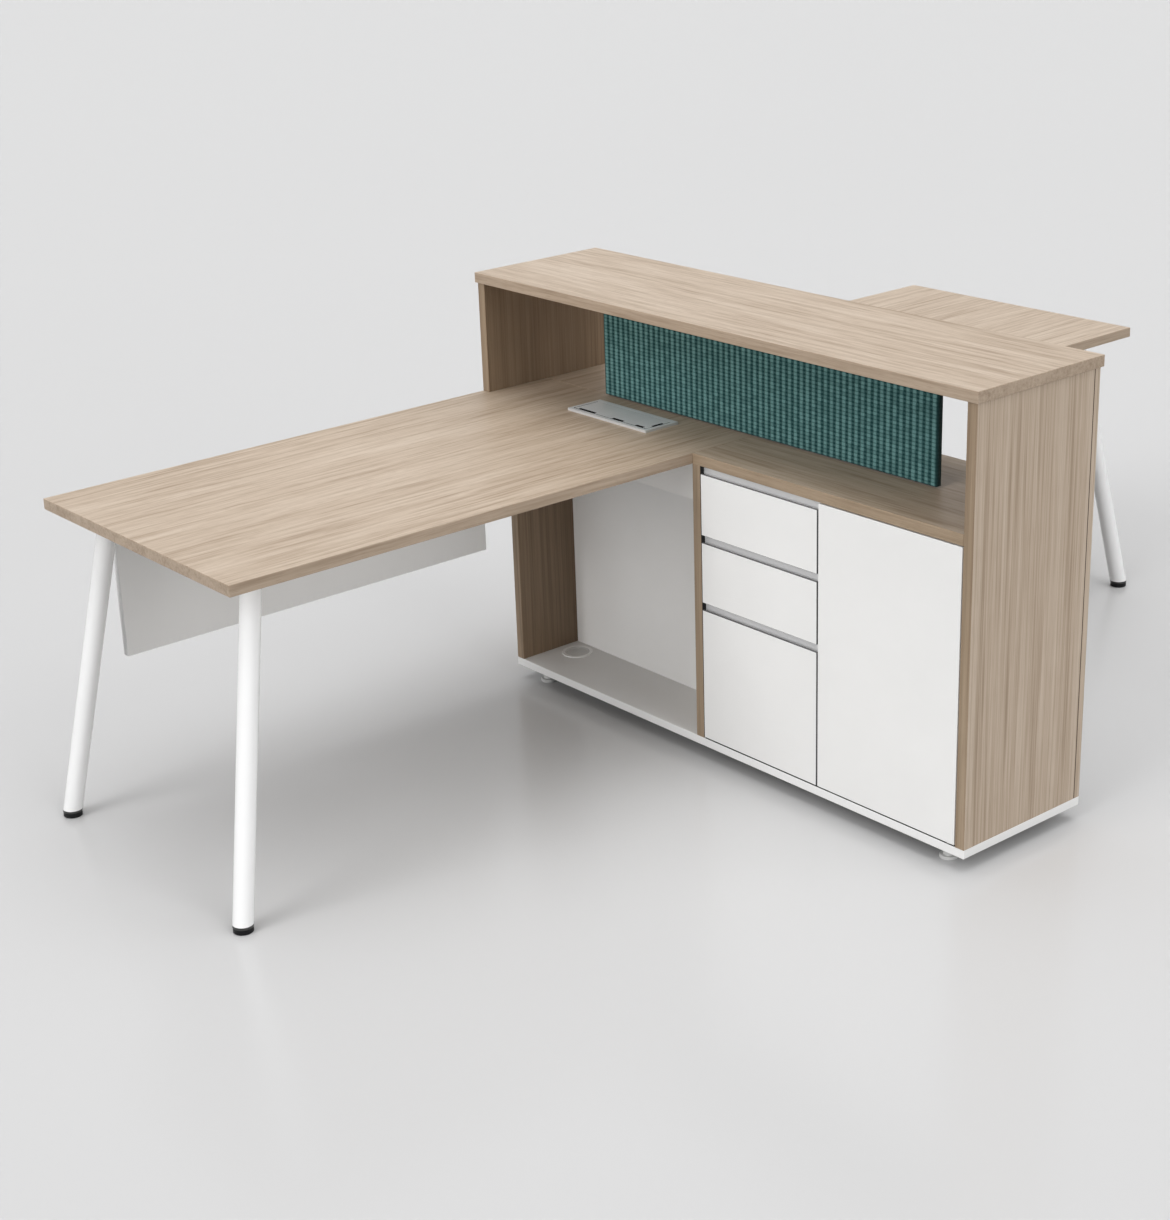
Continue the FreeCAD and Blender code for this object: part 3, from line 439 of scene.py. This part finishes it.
def zinc_plate(name):
    """Zinc plated steel: small crystal flakes of slightly different tone."""
    material, tree, shader = new_material(name, Metallic=1.0)
    place, _, _ = object_axes(tree)
    flakes = add(tree, "ShaderNodeTexVoronoi", {"Vector": place, "Scale": ZINC_FLAKES}).outputs
    tone = add(tree, "ShaderNodeSeparateColor", {0: flakes["Color"]}).outputs[0]
    feed(tree, shader.inputs,
         Base_Color=blend_colour(tree, tone, ZINC_DARK, ZINC_BRIGHT),
         Roughness=remap(tree, tone, 0.0, 1.0, *ZINC_ROUGHNESS))
    bump(tree, shader, flakes["Distance"], strength=0.05, distance=0.3 * MM)
    return material


def plain_beech(name):
    """Beech dowels: fine short flecks along the upright grain."""
    material, tree, shader = new_material(name, Specular_IOR_Level=0.3)
    _, axis, _ = object_axes(tree)
    grain = place_group(tree, OAK_GRAIN, {
        "Across": axis["X"], "Along": axis["Z"], "Through": axis["Y"], "Seed": BEECH_SEED, **BEECH_TONES})
    feed(tree, shader.inputs, Base_Color=grain["Color"], Roughness=grain["Roughness"])
    bump(tree, shader, grain["Height"], strength=0.2, distance=0.3 * MM)
    return material


def weave_cloth(name):
    """Open teal weave: pale upright cords over darker cross threads, with deep gaps between them.

    The cord is |sin(pi x / rib)| and the thread is |sin(pi z / stitch)|, measured from the screen's lower
    corner, as in the screen's own surface. Each cord and each knot has a level of its own.
    """
    material, tree, shader = new_material(
        name, Specular_IOR_Level=0.15, Sheen_Weight=0.1, Sheen_Roughness=0.5)
    _, axis, normal = object_axes(tree)

    def waves(letter, start, pitch):
        """|sin(pi d / pitch)| at the distance d from a start, and the number of whole pitches in d."""
        distance = calc(tree, "SUBTRACT", axis[letter], start)
        wave = calc(tree, "SINE", times(tree, distance, math.pi / pitch))
        return calc(tree, "ABSOLUTE", wave), calc(tree, "FLOOR", calc(tree, "DIVIDE", distance, pitch))

    def speckle(wide, high, detail):
        """Noise with so many waves per metre across the screen and up it."""
        place = combine(tree, times(tree, axis["X"], wide), axis["Y"], times(tree, axis["Z"], high))
        return noise(tree, place, scale=1.0, detail=detail)

    cord, column = waves("X", SCREEN_LOW[0], SCREEN_RIB)
    thread, row = waves("Z", SCREEN_LOW[2], SCREEN_STITCH)
    patch, fibre = speckle(*PATCHES), speckle(*FIBRES)
    shift = times(tree, calc(tree, "SUBTRACT", patch, NOISE_MIDDLE), PATCH_SHIFT)
    upright = times(tree, remap(tree, calc(tree, "ADD", cord, shift), *CORD_EDGE),
                    remap(tree, thread, *DIP_EDGE, *DIP_LEVELS))
    crossing = times(tree, remap(tree, thread, *CROSSING_EDGE), CROSSING_LEVEL)
    by_cord = add(tree, "ShaderNodeTexWhiteNoise", {"W": column}, noise_dimensions="1D").outputs["Value"]
    knot = combine(tree, column, row, 0.0)
    by_knot = add(tree, "ShaderNodeTexWhiteNoise", {"Vector": knot}).outputs["Value"]
    uneven = times(tree, remap(tree, by_cord, 0.0, 1.0, *CORD_LEVELS),
                   remap(tree, by_knot, 0.0, 1.0, *KNOT_LEVELS))
    level = times(tree, calc(tree, "MAXIMUM", upright, crossing), uneven)
    colour = blend_colour(tree, level, WEAVE_GAP, WEAVE_LIT)
    colour = blend_colour(tree, remap(tree, fibre, *FIBRE_EDGE, 0.0, FIBRE_SHARE), colour, WEAVE_FIBRE)
    plain = times(tree, edge_mask(tree, normal, "Y"), EDGE_SHARE)
    feed(tree, shader.inputs,
         Base_Color=blend_colour(tree, plain, colour, WEAVE_EDGE),
         Roughness=remap(tree, fibre, *NOISE_REACH, *CLOTH_ROUGHNESS))
    bump(tree, shader, fibre, strength=0.35, distance=0.5 * MM)
    return material


# Finishes of the carried-over pieces

END_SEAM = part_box("right_end_panel")[1][1]
GRIP_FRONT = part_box("grip_profiles")[0][1]
# The painted shadow on the plinth, a black strip under the fronts, starts behind the fronts' faces and runs
# from the drawers to the door
STRIP_START, STRIP_END = 0.5 * MM, 12 * MM
FRONTS_LEFT, FRONTS_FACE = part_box("drawer_lower_front")[0][:2]
DOOR_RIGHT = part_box("door_panel")[1][0]
FRONT_SHADOW_STRIP = ((FRONTS_LEFT, FRONTS_FACE + STRIP_START), (DOOR_RIGHT, FRONTS_FACE + STRIP_END))
# The black round a lid's opening leaves out its hinge side and reaches past its free edge
HINGE_SIDE, PAST_EDGE = 4 * MM, 2.5 * MM
LID_LOW, LID_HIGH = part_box("power_lid_b")
LID_OPENING = ((LID_LOW[0], LID_LOW[1] + HINGE_SIDE), (LID_HIGH[0], LID_HIGH[1] + PAST_EDGE))
BLACK_TIP = 5.5 * MM
LEG_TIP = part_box("leg_left_a")[0][2] + BLACK_TIP

DESK_BOARD = dict(
    along="Y", face="Z", tones=LIGHT_OAK, reach=DESK_GRAIN, banding=PALE_BANDING, shelf_shading=SHELF_SHADE)
LEVEL_BOARD = dict(along="X", face="Z", reach=DESK_GRAIN)
UPRIGHT_BOARD = dict(along="Z", face="X", tones=LIGHT_OAK, reach=UPRIGHT_GRAIN)
OAK_BOARDS = {
    "desk_top_a": dict(DESK_BOARD, seed=1.0),
    "desk_top_b": dict(DESK_BOARD, seed=14.0),
    "top_shelf": dict(LEVEL_BOARD, seed=3.0, tones=LIGHT_OAK, banding=PALE_BANDING),
    # The worktop's darker oak is painted shade under the shelf
    "worktop": dict(LEVEL_BOARD, seed=8.0, tones=SHADED_OAK),
    # The darker oak on the inner faces of the left upright and the lower left panel is painted shade
    "left_upright": dict(UPRIGHT_BOARD, seed=4.0, inner=SHADED_BROWN_OAK),
    "right_end_panel": dict(UPRIGHT_BOARD, seed=6.0, seam=END_SEAM),
    "end_panel_lipping": dict(UPRIGHT_BOARD, seed=7.0, seam=END_SEAM),
    "lower_left_panel": dict(UPRIGHT_BOARD, seed=11.0, inner=DEEP_SHADED_OAK),
    # The divider's black in front of the grip profiles is painted shadow in the recesses beside the fronts
    "divider_panel": dict(UPRIGHT_BOARD, seed=12.0, shadow_strip=GRIP_FRONT),
}
WHITE_BOARDS = {
    white_board("white_upright_board", "X"): ["partition_panel", "modesty_panel_a", "modesty_panel_b"],
    white_board("white_panel", "Y"): ["bay_back_panel", "storage_back_panel", "bay_rails", "door_panel"],
    # The drawer fronts' dark grey edges are painted shade in the gaps
    white_board("white_drawer_front", "Y", GAP_SHADE_GREY): [
        "drawer_upper_front", "drawer_middle_front", "drawer_lower_front"],
    # The plinth's greyer top is painted shade, and its black strip under the fronts is painted shadow
    white_board("white_plinth", "Z", white=SHADED_PLINTH_WHITE, shadow_strip=FRONT_SHADOW_STRIP): ["base_panel"],
    white_board("white_shelf", "Z"): ["inner_shelf"],
}
GLOSS_PAINT = skinned(
    "gloss_white_paint", tint=(0.95, 0.95, 0.95), shade=(0.93, 0.93, 0.93), smooth=0.10, dull=0.20,
    fineness=350.0, ripple=0.03, tip=LEG_TIP, Coat_Weight=0.6, Coat_Roughness=0.06)
GLIDE_BLACK = skinned(
    "black_moulding", tint=(0.006, 0.006, 0.007), shade=(0.010, 0.010, 0.011), smooth=0.40, dull=0.55,
    fineness=2400.0, ripple=0.25, Specular_IOR_Level=0.2)
PALE_MOULDING = skinned(
    "pale_moulding", tint=(0.66, 0.66, 0.65), shade=(0.62, 0.62, 0.61), smooth=0.35, dull=0.48,
    fineness=1800.0, ripple=0.12)
RING_WHITE = skinned(
    "bright_white_moulding", tint=(0.93, 0.93, 0.92), shade=(0.90, 0.90, 0.89), smooth=0.25, dull=0.38,
    fineness=1800.0, ripple=0.10)
TRAY_BLACK = skinned(
    "black_powder_coat", tint=(0.030, 0.030, 0.031), shade=(0.040, 0.040, 0.041), smooth=0.45, dull=0.60,
    fineness=1200.0, ripple=0.30)
DRAWER_GREY = skinned(
    "pale_grey_melamine", tint=(0.70, 0.70, 0.69), shade=(0.67, 0.67, 0.66), smooth=0.42, dull=0.52,
    fineness=420.0, ripple=0.08)
SATIN_ALUMINIUM = brushed(
    "satin_aluminium", "X", bright=(0.77, 0.78, 0.78), dull=(0.66, 0.67, 0.68), blackened=LID_OPENING,
    Metallic=0.35)
PALE_ALUMINIUM = brushed(
    "pale_aluminium", "X", bright=(0.85, 0.85, 0.85), dull=(0.77, 0.77, 0.78), Metallic=0.2)
ZINC = zinc_plate("zinc_plate")
BEECH = plain_beech("beech")
WEAVE = weave_cloth("teal_weave")
OTHER_FINISHES = {
    GLOSS_PAINT: ["leg_left_a", "leg_right_a", "leg_left_b", "leg_right_b", "cross_rails", "side_beams"],
    GLIDE_BLACK: ["glide_left_a", "glide_right_a", "glide_left_b", "glide_right_b", "socket_modules"],
    PALE_MOULDING: ["foot_front_left", "foot_front_right", "foot_back_left", "foot_back_right",
                    "door_bushes", "door_catch", "grommet_caps"],
    RING_WHITE: ["grommet_rings"],
    TRAY_BLACK: ["power_well_a", "power_well_b"],
    DRAWER_GREY: ["drawer_upper_box", "drawer_middle_box", "drawer_lower_box"],
    SATIN_ALUMINIUM: ["power_frame_a", "power_frame_b", "power_lid_a", "power_lid_b"],
    PALE_ALUMINIUM: ["grip_profiles"],
    ZINC: ["runner_channels", "drawer_upper_runners", "drawer_middle_runners", "drawer_lower_runners",
           "modesty_angles", "door_fittings", "shelf_supports"],
    BEECH: ["screen_dowels"],
    WEAVE: ["screen_panel"],
}


def dress(node, material):
    """A carried-over piece in one finish."""
    slots = nodes[node].data.materials
    slots.clear()
    slots.append(material)


for node, values in OAK_BOARDS.items():
    dress(node, oak("oak_" + node, **values))
for material, names in {**WHITE_BOARDS, **OTHER_FINISHES}.items():
    for node in names:
        dress(node, material)


# Surfaces worked out as arrays


def make_piece(name, points, faces, material, body, slot):
    """A smooth mesh at the origin that rides on a body in the given finish; slot is not used."""
    mesh = bpy.data.meshes.new(name)
    mesh.from_pydata(points.reshape(-1, 3), [], faces)
    mesh.materials.append(material)
    mesh.polygons.foreach_set("use_smooth", np.full(len(mesh.polygons), True))
    mesh.update()
    piece = bpy.data.objects.new(name, mesh)
    scene.collection.objects.link(piece)
    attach(piece, body)
    return piece


def net_faces(rows, columns, close_rows=False):
    """Quads over a grid of points; each row is joined round, and so are the columns where asked."""
    row = np.arange(rows if close_rows else rows - 1)
    first, second = np.meshgrid(row, np.arange(columns), indexing="ij")
    after_row = (first + 1) % rows
    after_column = (second + 1) % columns
    corners = [first * columns + second, first * columns + after_column,
               after_row * columns + after_column, after_row * columns + second]
    return np.stack(corners, -1).reshape(-1, 4)


# Woven screen


def woven_screen():
    """A flat panel wrapped in open weave.

    Each face stands out by relief * max(c, 0.5 t), where c = |sin(pi x / rib)| is the upright cord and
    t = |sin(pi z / stitch)| is the cross thread, and it falls to nothing at the rim. The section runs up
    the front and down the back, and its two ends are closed.
    """
    across = np.linspace(SCREEN_LOW[0], SCREEN_HIGH[0], SCREEN_CORDS * STEPS_PER_WAVE + 1)
    up = np.linspace(SCREEN_LOW[2], SCREEN_HIGH[2], SCREEN_THREADS * STEPS_PER_WAVE + 1)
    x, z = np.meshgrid(across, up, indexing="ij")
    cord = np.abs(np.sin(np.pi * (x - SCREEN_LOW[0]) / SCREEN_RIB))
    thread = np.abs(np.sin(np.pi * (z - SCREEN_LOW[2]) / SCREEN_STITCH))
    rim = np.minimum.reduce([
        x - SCREEN_LOW[0], SCREEN_HIGH[0] - x, z - SCREEN_LOW[2], SCREEN_HIGH[2] - z])
    raised = np.maximum(cord, THREAD_RELIEF * thread) * np.clip(rim / SCREEN_RIM, 0, 1)
    sunk = SCREEN_RELIEF * (1 - raised)
    front = np.stack([x, SCREEN_LOW[1] + sunk, z], -1)
    back = np.stack([x, SCREEN_HIGH[1] - sunk, z], -1)[:, ::-1]
    points = np.concatenate([front, back], axis=1)
    rows, columns = points.shape[:2]
    step = np.arange(columns // 2 - 1)
    left_end = np.stack([step, columns - 1 - step, columns - 2 - step, step + 1], -1)
    right_end = left_end[:, ::-1] + (rows - 1) * columns
    faces = np.concatenate([net_faces(rows, columns), left_end, right_end])[:, ::-1]
    screen = make_piece("screen_cloth", points, faces, WEAVE, "cabinet", "weave")
    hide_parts("screen_panel")


woven_screen()

# Small fixings

# Turned shapes: radius and height along the profile in millimetres, and the number of points round it
SCREW_HEAD = dict(
    profile=((4.5, 0.0), (4.5, 0.7), (4.2, 1.5), (3.4, 2.2),
             (2.4, 2.5), (1.9, 2.5), (1.7, 2.3), (1.6, 1.0)),
    turns=18, ring=False)
WELD_BEAD = dict(
    profile=((27.0, 0.0), (25.4, 1.2), (24.2, 2.6), (23.4, 4.4), (22.2, 4.8), (22.0, 0.0)),
    turns=40, ring=True)
SOCKET_RIM = dict(
    profile=((20.4, 0.0), (20.4, 0.9), (20.0, 1.3), (19.2, 1.3), (18.8, 0.9), (18.8, 0.0)),
    turns=48, ring=True)
PIN_BUSH = dict(
    profile=((3.4, 0.0), (3.4, 0.4), (3.1, 0.6), (2.7, 0.6), (2.4, 0.4), (2.4, 0.0)),
    turns=24, ring=True)
DOWN, UP, TO_END = (0, 0, -1), (0, 0, 1), (1, 0, 0)
# Leg plates: reach past the leg's middle, thickness, and screws along and across it
PLATE_REACH, PLATE_THICKNESS = 44 * MM, 5 * MM
PLATE_ALONG, PLATE_ACROSS = (-17 * MM, 34 * MM), (-43 * MM, 43 * MM)
CROSS_RAIL_HALF = 15 * MM
# Fixing angles: distance in from the panel's end, sheet, and screws out from the corner and to each side
ANGLE_INSET, ANGLE_SHEET = 120 * MM, 3 * MM
ANGLE_OUT, ANGLE_SIDE = 18 * MM, 11 * MM
# Sockets along a power box, and the pins in each, in millimetres
SOCKET_STEPS, PIN_STEP = (-90, -30, 30, 90), 9.5


def spun(places, axes, profile, turns, ring):
    """Copies of one turned shape, as points and faces.

    A point is place + r (u cos t + v sin t) + h w, where r and h run along the profile in millimetres, w
    is the copy's own axis and u, v lie across it. A ring's profile is joined round; another shape is closed
    at both ends.
    """
    places, axes = np.array(places, float), np.array(axes, float)
    first = np.cross(axes, np.roll(np.abs(axes), 1, axis=1))
    second = np.cross(axes, first)
    radius, height = np.array(profile).T[:, None, :, None, None] * MM
    turn = np.linspace(0, 2 * np.pi, turns, endpoint=False)[:, None]
    spoke = first[:, None, None] * np.cos(turn) + second[:, None, None] * np.sin(turn)
    points = places[:, None, None] + radius * spoke + height * axes[:, None, None]
    rows = len(profile)
    start = np.arange(len(places)) * rows * turns
    quads = net_faces(rows, turns, close_rows=ring)
    faces = (start[:, None, None] + quads).reshape(-1, 4).tolist()
    if not ring:
        rim = start[:, None] + np.arange(turns)
        faces += rim[:, ::-1].tolist() + (rim + (rows - 1) * turns).tolist()
    return points, faces


def leg_fixings():
    """Weld beads round the heads of the legs, and four screws through each leg's plate into the board."""
    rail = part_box("cross_rails")[1][1] - CROSS_RAIL_HALF
    heads = []
    for side, y in (("a", -rail), ("b", rail)):
        left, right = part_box("leg_left_" + side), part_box("leg_right_" + side)
        heads += [(left[1][0] - PLATE_REACH, y, 1), (right[0][0] + PLATE_REACH, y, -1)]
    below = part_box("leg_left_a")[1][2] - PLATE_THICKNESS
    welds = [(x, y, below) for x, y, inward in heads]
    screws = [(x + inward * along, y + across, below)
              for x, y, inward in heads for along in PLATE_ALONG for across in PLATE_ACROSS]
    beads = spun(welds, [DOWN] * len(welds), **WELD_BEAD)
    make_piece("leg_welds", *beads, GLOSS_PAINT, "cabinet", "white_paint")
    make_piece("leg_screws", *spun(screws, [DOWN] * len(screws), **SCREW_HEAD), ZINC, "cabinet", "zinc")


def angle_screws():
    """Two screws up into the desk board and two into the modesty panel, at each fixing angle."""
    places, axes = [], []
    for side in ("a", "b"):
        low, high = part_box("modesty_panel_" + side)
        first, last = low[1] + ANGLE_INSET, high[1] - ANGLE_INSET
        for y in (first, (first + last) / 2, last):
            for step in (-ANGLE_SIDE, ANGLE_SIDE):
                places.append((high[0] + ANGLE_OUT, y + step, high[2] - ANGLE_SHEET))
                places.append((high[0] + ANGLE_SHEET, y + step, high[2] - ANGLE_OUT))
                axes += [DOWN, TO_END]
    make_piece("angle_screws", *spun(places, axes, **SCREW_HEAD), ZINC, "cabinet", "zinc")


def socket_faces():
    """A raised round rim and two pin bushes on each socket of the power boxes."""
    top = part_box("socket_modules")[1][2]
    rims, bushes = [], []
    for side in ("a", "b"):
        low, high = np.array(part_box("power_frame_" + side))
        x, y = ((low + high) / 2)[:2]
        rims += [(x + step * MM, y, top) for step in SOCKET_STEPS]
        bushes += [(x + (step + pin) * MM, y, top)
                   for step in SOCKET_STEPS for pin in (-PIN_STEP, PIN_STEP)]
    raised = spun(rims, [UP] * len(rims), **SOCKET_RIM)
    make_piece("socket_rims", *raised, TRAY_BLACK, "cabinet", "black_plastic")
    make_piece("socket_bushes", *spun(bushes, [UP] * len(bushes), **PIN_BUSH), ZINC, "cabinet", "zinc")


leg_fixings()
angle_screws()
socket_faces()

# Floor, light and camera

FLOOR_HALF = 60.0
FLOOR_SEEN, FLOOR_BOUNCE = (0.610, 0.610, 0.613, 1), (0.41, 0.41, 0.41, 1)
SKY_TOP, SKY_NARROWING = 3.27, 6.0
SKY_LIGHT, SKY_SEEN = (1, 1, 1, 1), (0.75, 0.75, 0.753, 1)
# Each lamp's direction from the cabinet, and its strength
LAMPS = (
    ("front_low", (0.0, -0.99, 0.09), 1.40),
    ("front_high", (0.0, -0.77, 0.64), 0.80),
    ("end_low", (0.98, 0.0, 0.17), 0.88),
    ("end_high", (0.77, 0.0, 0.64), 0.40),
    ("behind", (0.6, 0.6, 0.5), 0.27),
)
LAMP_SPREAD = math.radians(30)
# Lamps lower than this leave no glare on the floor
LOWEST_MIRRORED = 0.3
CAMERA_PLACE = (3.4996, -3.3798, 2.2002)
AZIMUTH, ELEVATION, ROLL = 0.88862, 0.36594, 0.03635
FOCUS_PIXELS, FRAME_HEIGHT_PIXELS = 2198.11, 1220
SENSOR_WIDTH, FARTHEST_SEEN = 36, 200


def seen_directly(tree):
    """1 for what the camera sees, also in a reflection or through glass, and 0 for other light."""
    path = add(tree, "ShaderNodeLightPath").outputs
    mirrored = calc(tree, "MAXIMUM", path["Is Glossy Ray"], path["Is Transmission Ray"])
    return calc(tree, "MAXIMUM", path["Is Camera Ray"], mirrored)


def pale_floor():
    """One wide square at the feet of the cabinet and legs."""
    mesh = bpy.data.meshes.new("floor")
    corners = [(x * FLOOR_HALF, y * FLOOR_HALF, 0) for x, y in ((-1, -1), (1, -1), (1, 1), (-1, 1))]
    mesh.from_pydata(corners, [], [(0, 1, 2, 3)])
    floor = bpy.data.objects.new("floor", mesh)
    scene.collection.objects.link(floor)
    material, tree, shader = new_material("pale_floor", Roughness=0.22, Specular_IOR_Level=0.4)
    colour = blend_colour(tree, seen_directly(tree), FLOOR_BOUNCE, FLOOR_SEEN)
    feed(tree, shader.inputs, Base_Color=colour)
    mesh.materials.append(material)


def sky():
    """A sky that brightens overhead by a power of its height, and that is seen as one pale grey."""
    world = bpy.data.worlds.new("brightening_sky")
    scene.world = world
    world.use_nodes = True
    tree = world.node_tree
    tree.nodes.clear()
    direction = add(tree, "ShaderNodeTexCoord").outputs["Generated"]
    rise = calc(tree, "MAXIMUM", split(tree, direction)["Z"], 0.0)
    strength = times(tree, calc(tree, "POWER", rise, SKY_NARROWING), SKY_TOP)
    light = add(tree, "ShaderNodeBackground", {"Color": SKY_LIGHT, "Strength": strength}).outputs[0]
    view = add(tree, "ShaderNodeBackground", {"Color": SKY_SEEN, "Strength": 1.0}).outputs[0]
    mix = add(tree, "ShaderNodeMixShader", {0: seen_directly(tree), 1: light, 2: view})
    add(tree, "ShaderNodeOutputWorld", {"Surface": mix.outputs[0]})


def lamps():
    """Soft lamps before, beside and behind the cabinet."""
    for name, towards, power in LAMPS:
        lamp = bpy.data.lights.new(name, "SUN")
        lamp.energy = power
        lamp.angle = LAMP_SPREAD
        holder = bpy.data.objects.new(name, lamp)
        back = np.array(towards) / np.linalg.norm(towards)
        side = np.cross((0, 0, 1), back)
        side /= np.linalg.norm(side)
        turn = np.column_stack([side, np.cross(back, side), back])
        holder.matrix_world = Matrix(turn.tolist()).to_4x4()
        holder.visible_glossy = towards[2] > LOWEST_MIRRORED
        scene.collection.objects.link(holder)


def camera():
    """A long lens from the front and the closed end, tilted down, with the photograph's slight roll."""
    level = math.cos(ELEVATION)
    back = np.array([math.sin(AZIMUTH) * level, -math.cos(AZIMUTH) * level, math.sin(ELEVATION)])
    right = np.cross(-back, (0, 0, 1))
    right /= np.linalg.norm(right)
    down = np.cross(-back, right)
    rolled_right = math.cos(ROLL) * right + math.sin(ROLL) * down
    rolled_down = -math.sin(ROLL) * right + math.cos(ROLL) * down
    lens = bpy.data.cameras.new("camera")
    lens.sensor_width = SENSOR_WIDTH
    lens.lens = FOCUS_PIXELS / FRAME_HEIGHT_PIXELS * lens.sensor_width
    lens.clip_end = FARTHEST_SEEN
    holder = bpy.data.objects.new("camera", lens)
    place = Matrix(np.column_stack([rolled_right, -rolled_down, back]).tolist()).to_4x4()
    place.translation = CAMERA_PLACE
    holder.matrix_world = place
    scene.collection.objects.link(holder)
    scene.camera = holder


pale_floor()
sky()
lamps()
camera()
scene.view_settings.view_transform = "Standard"
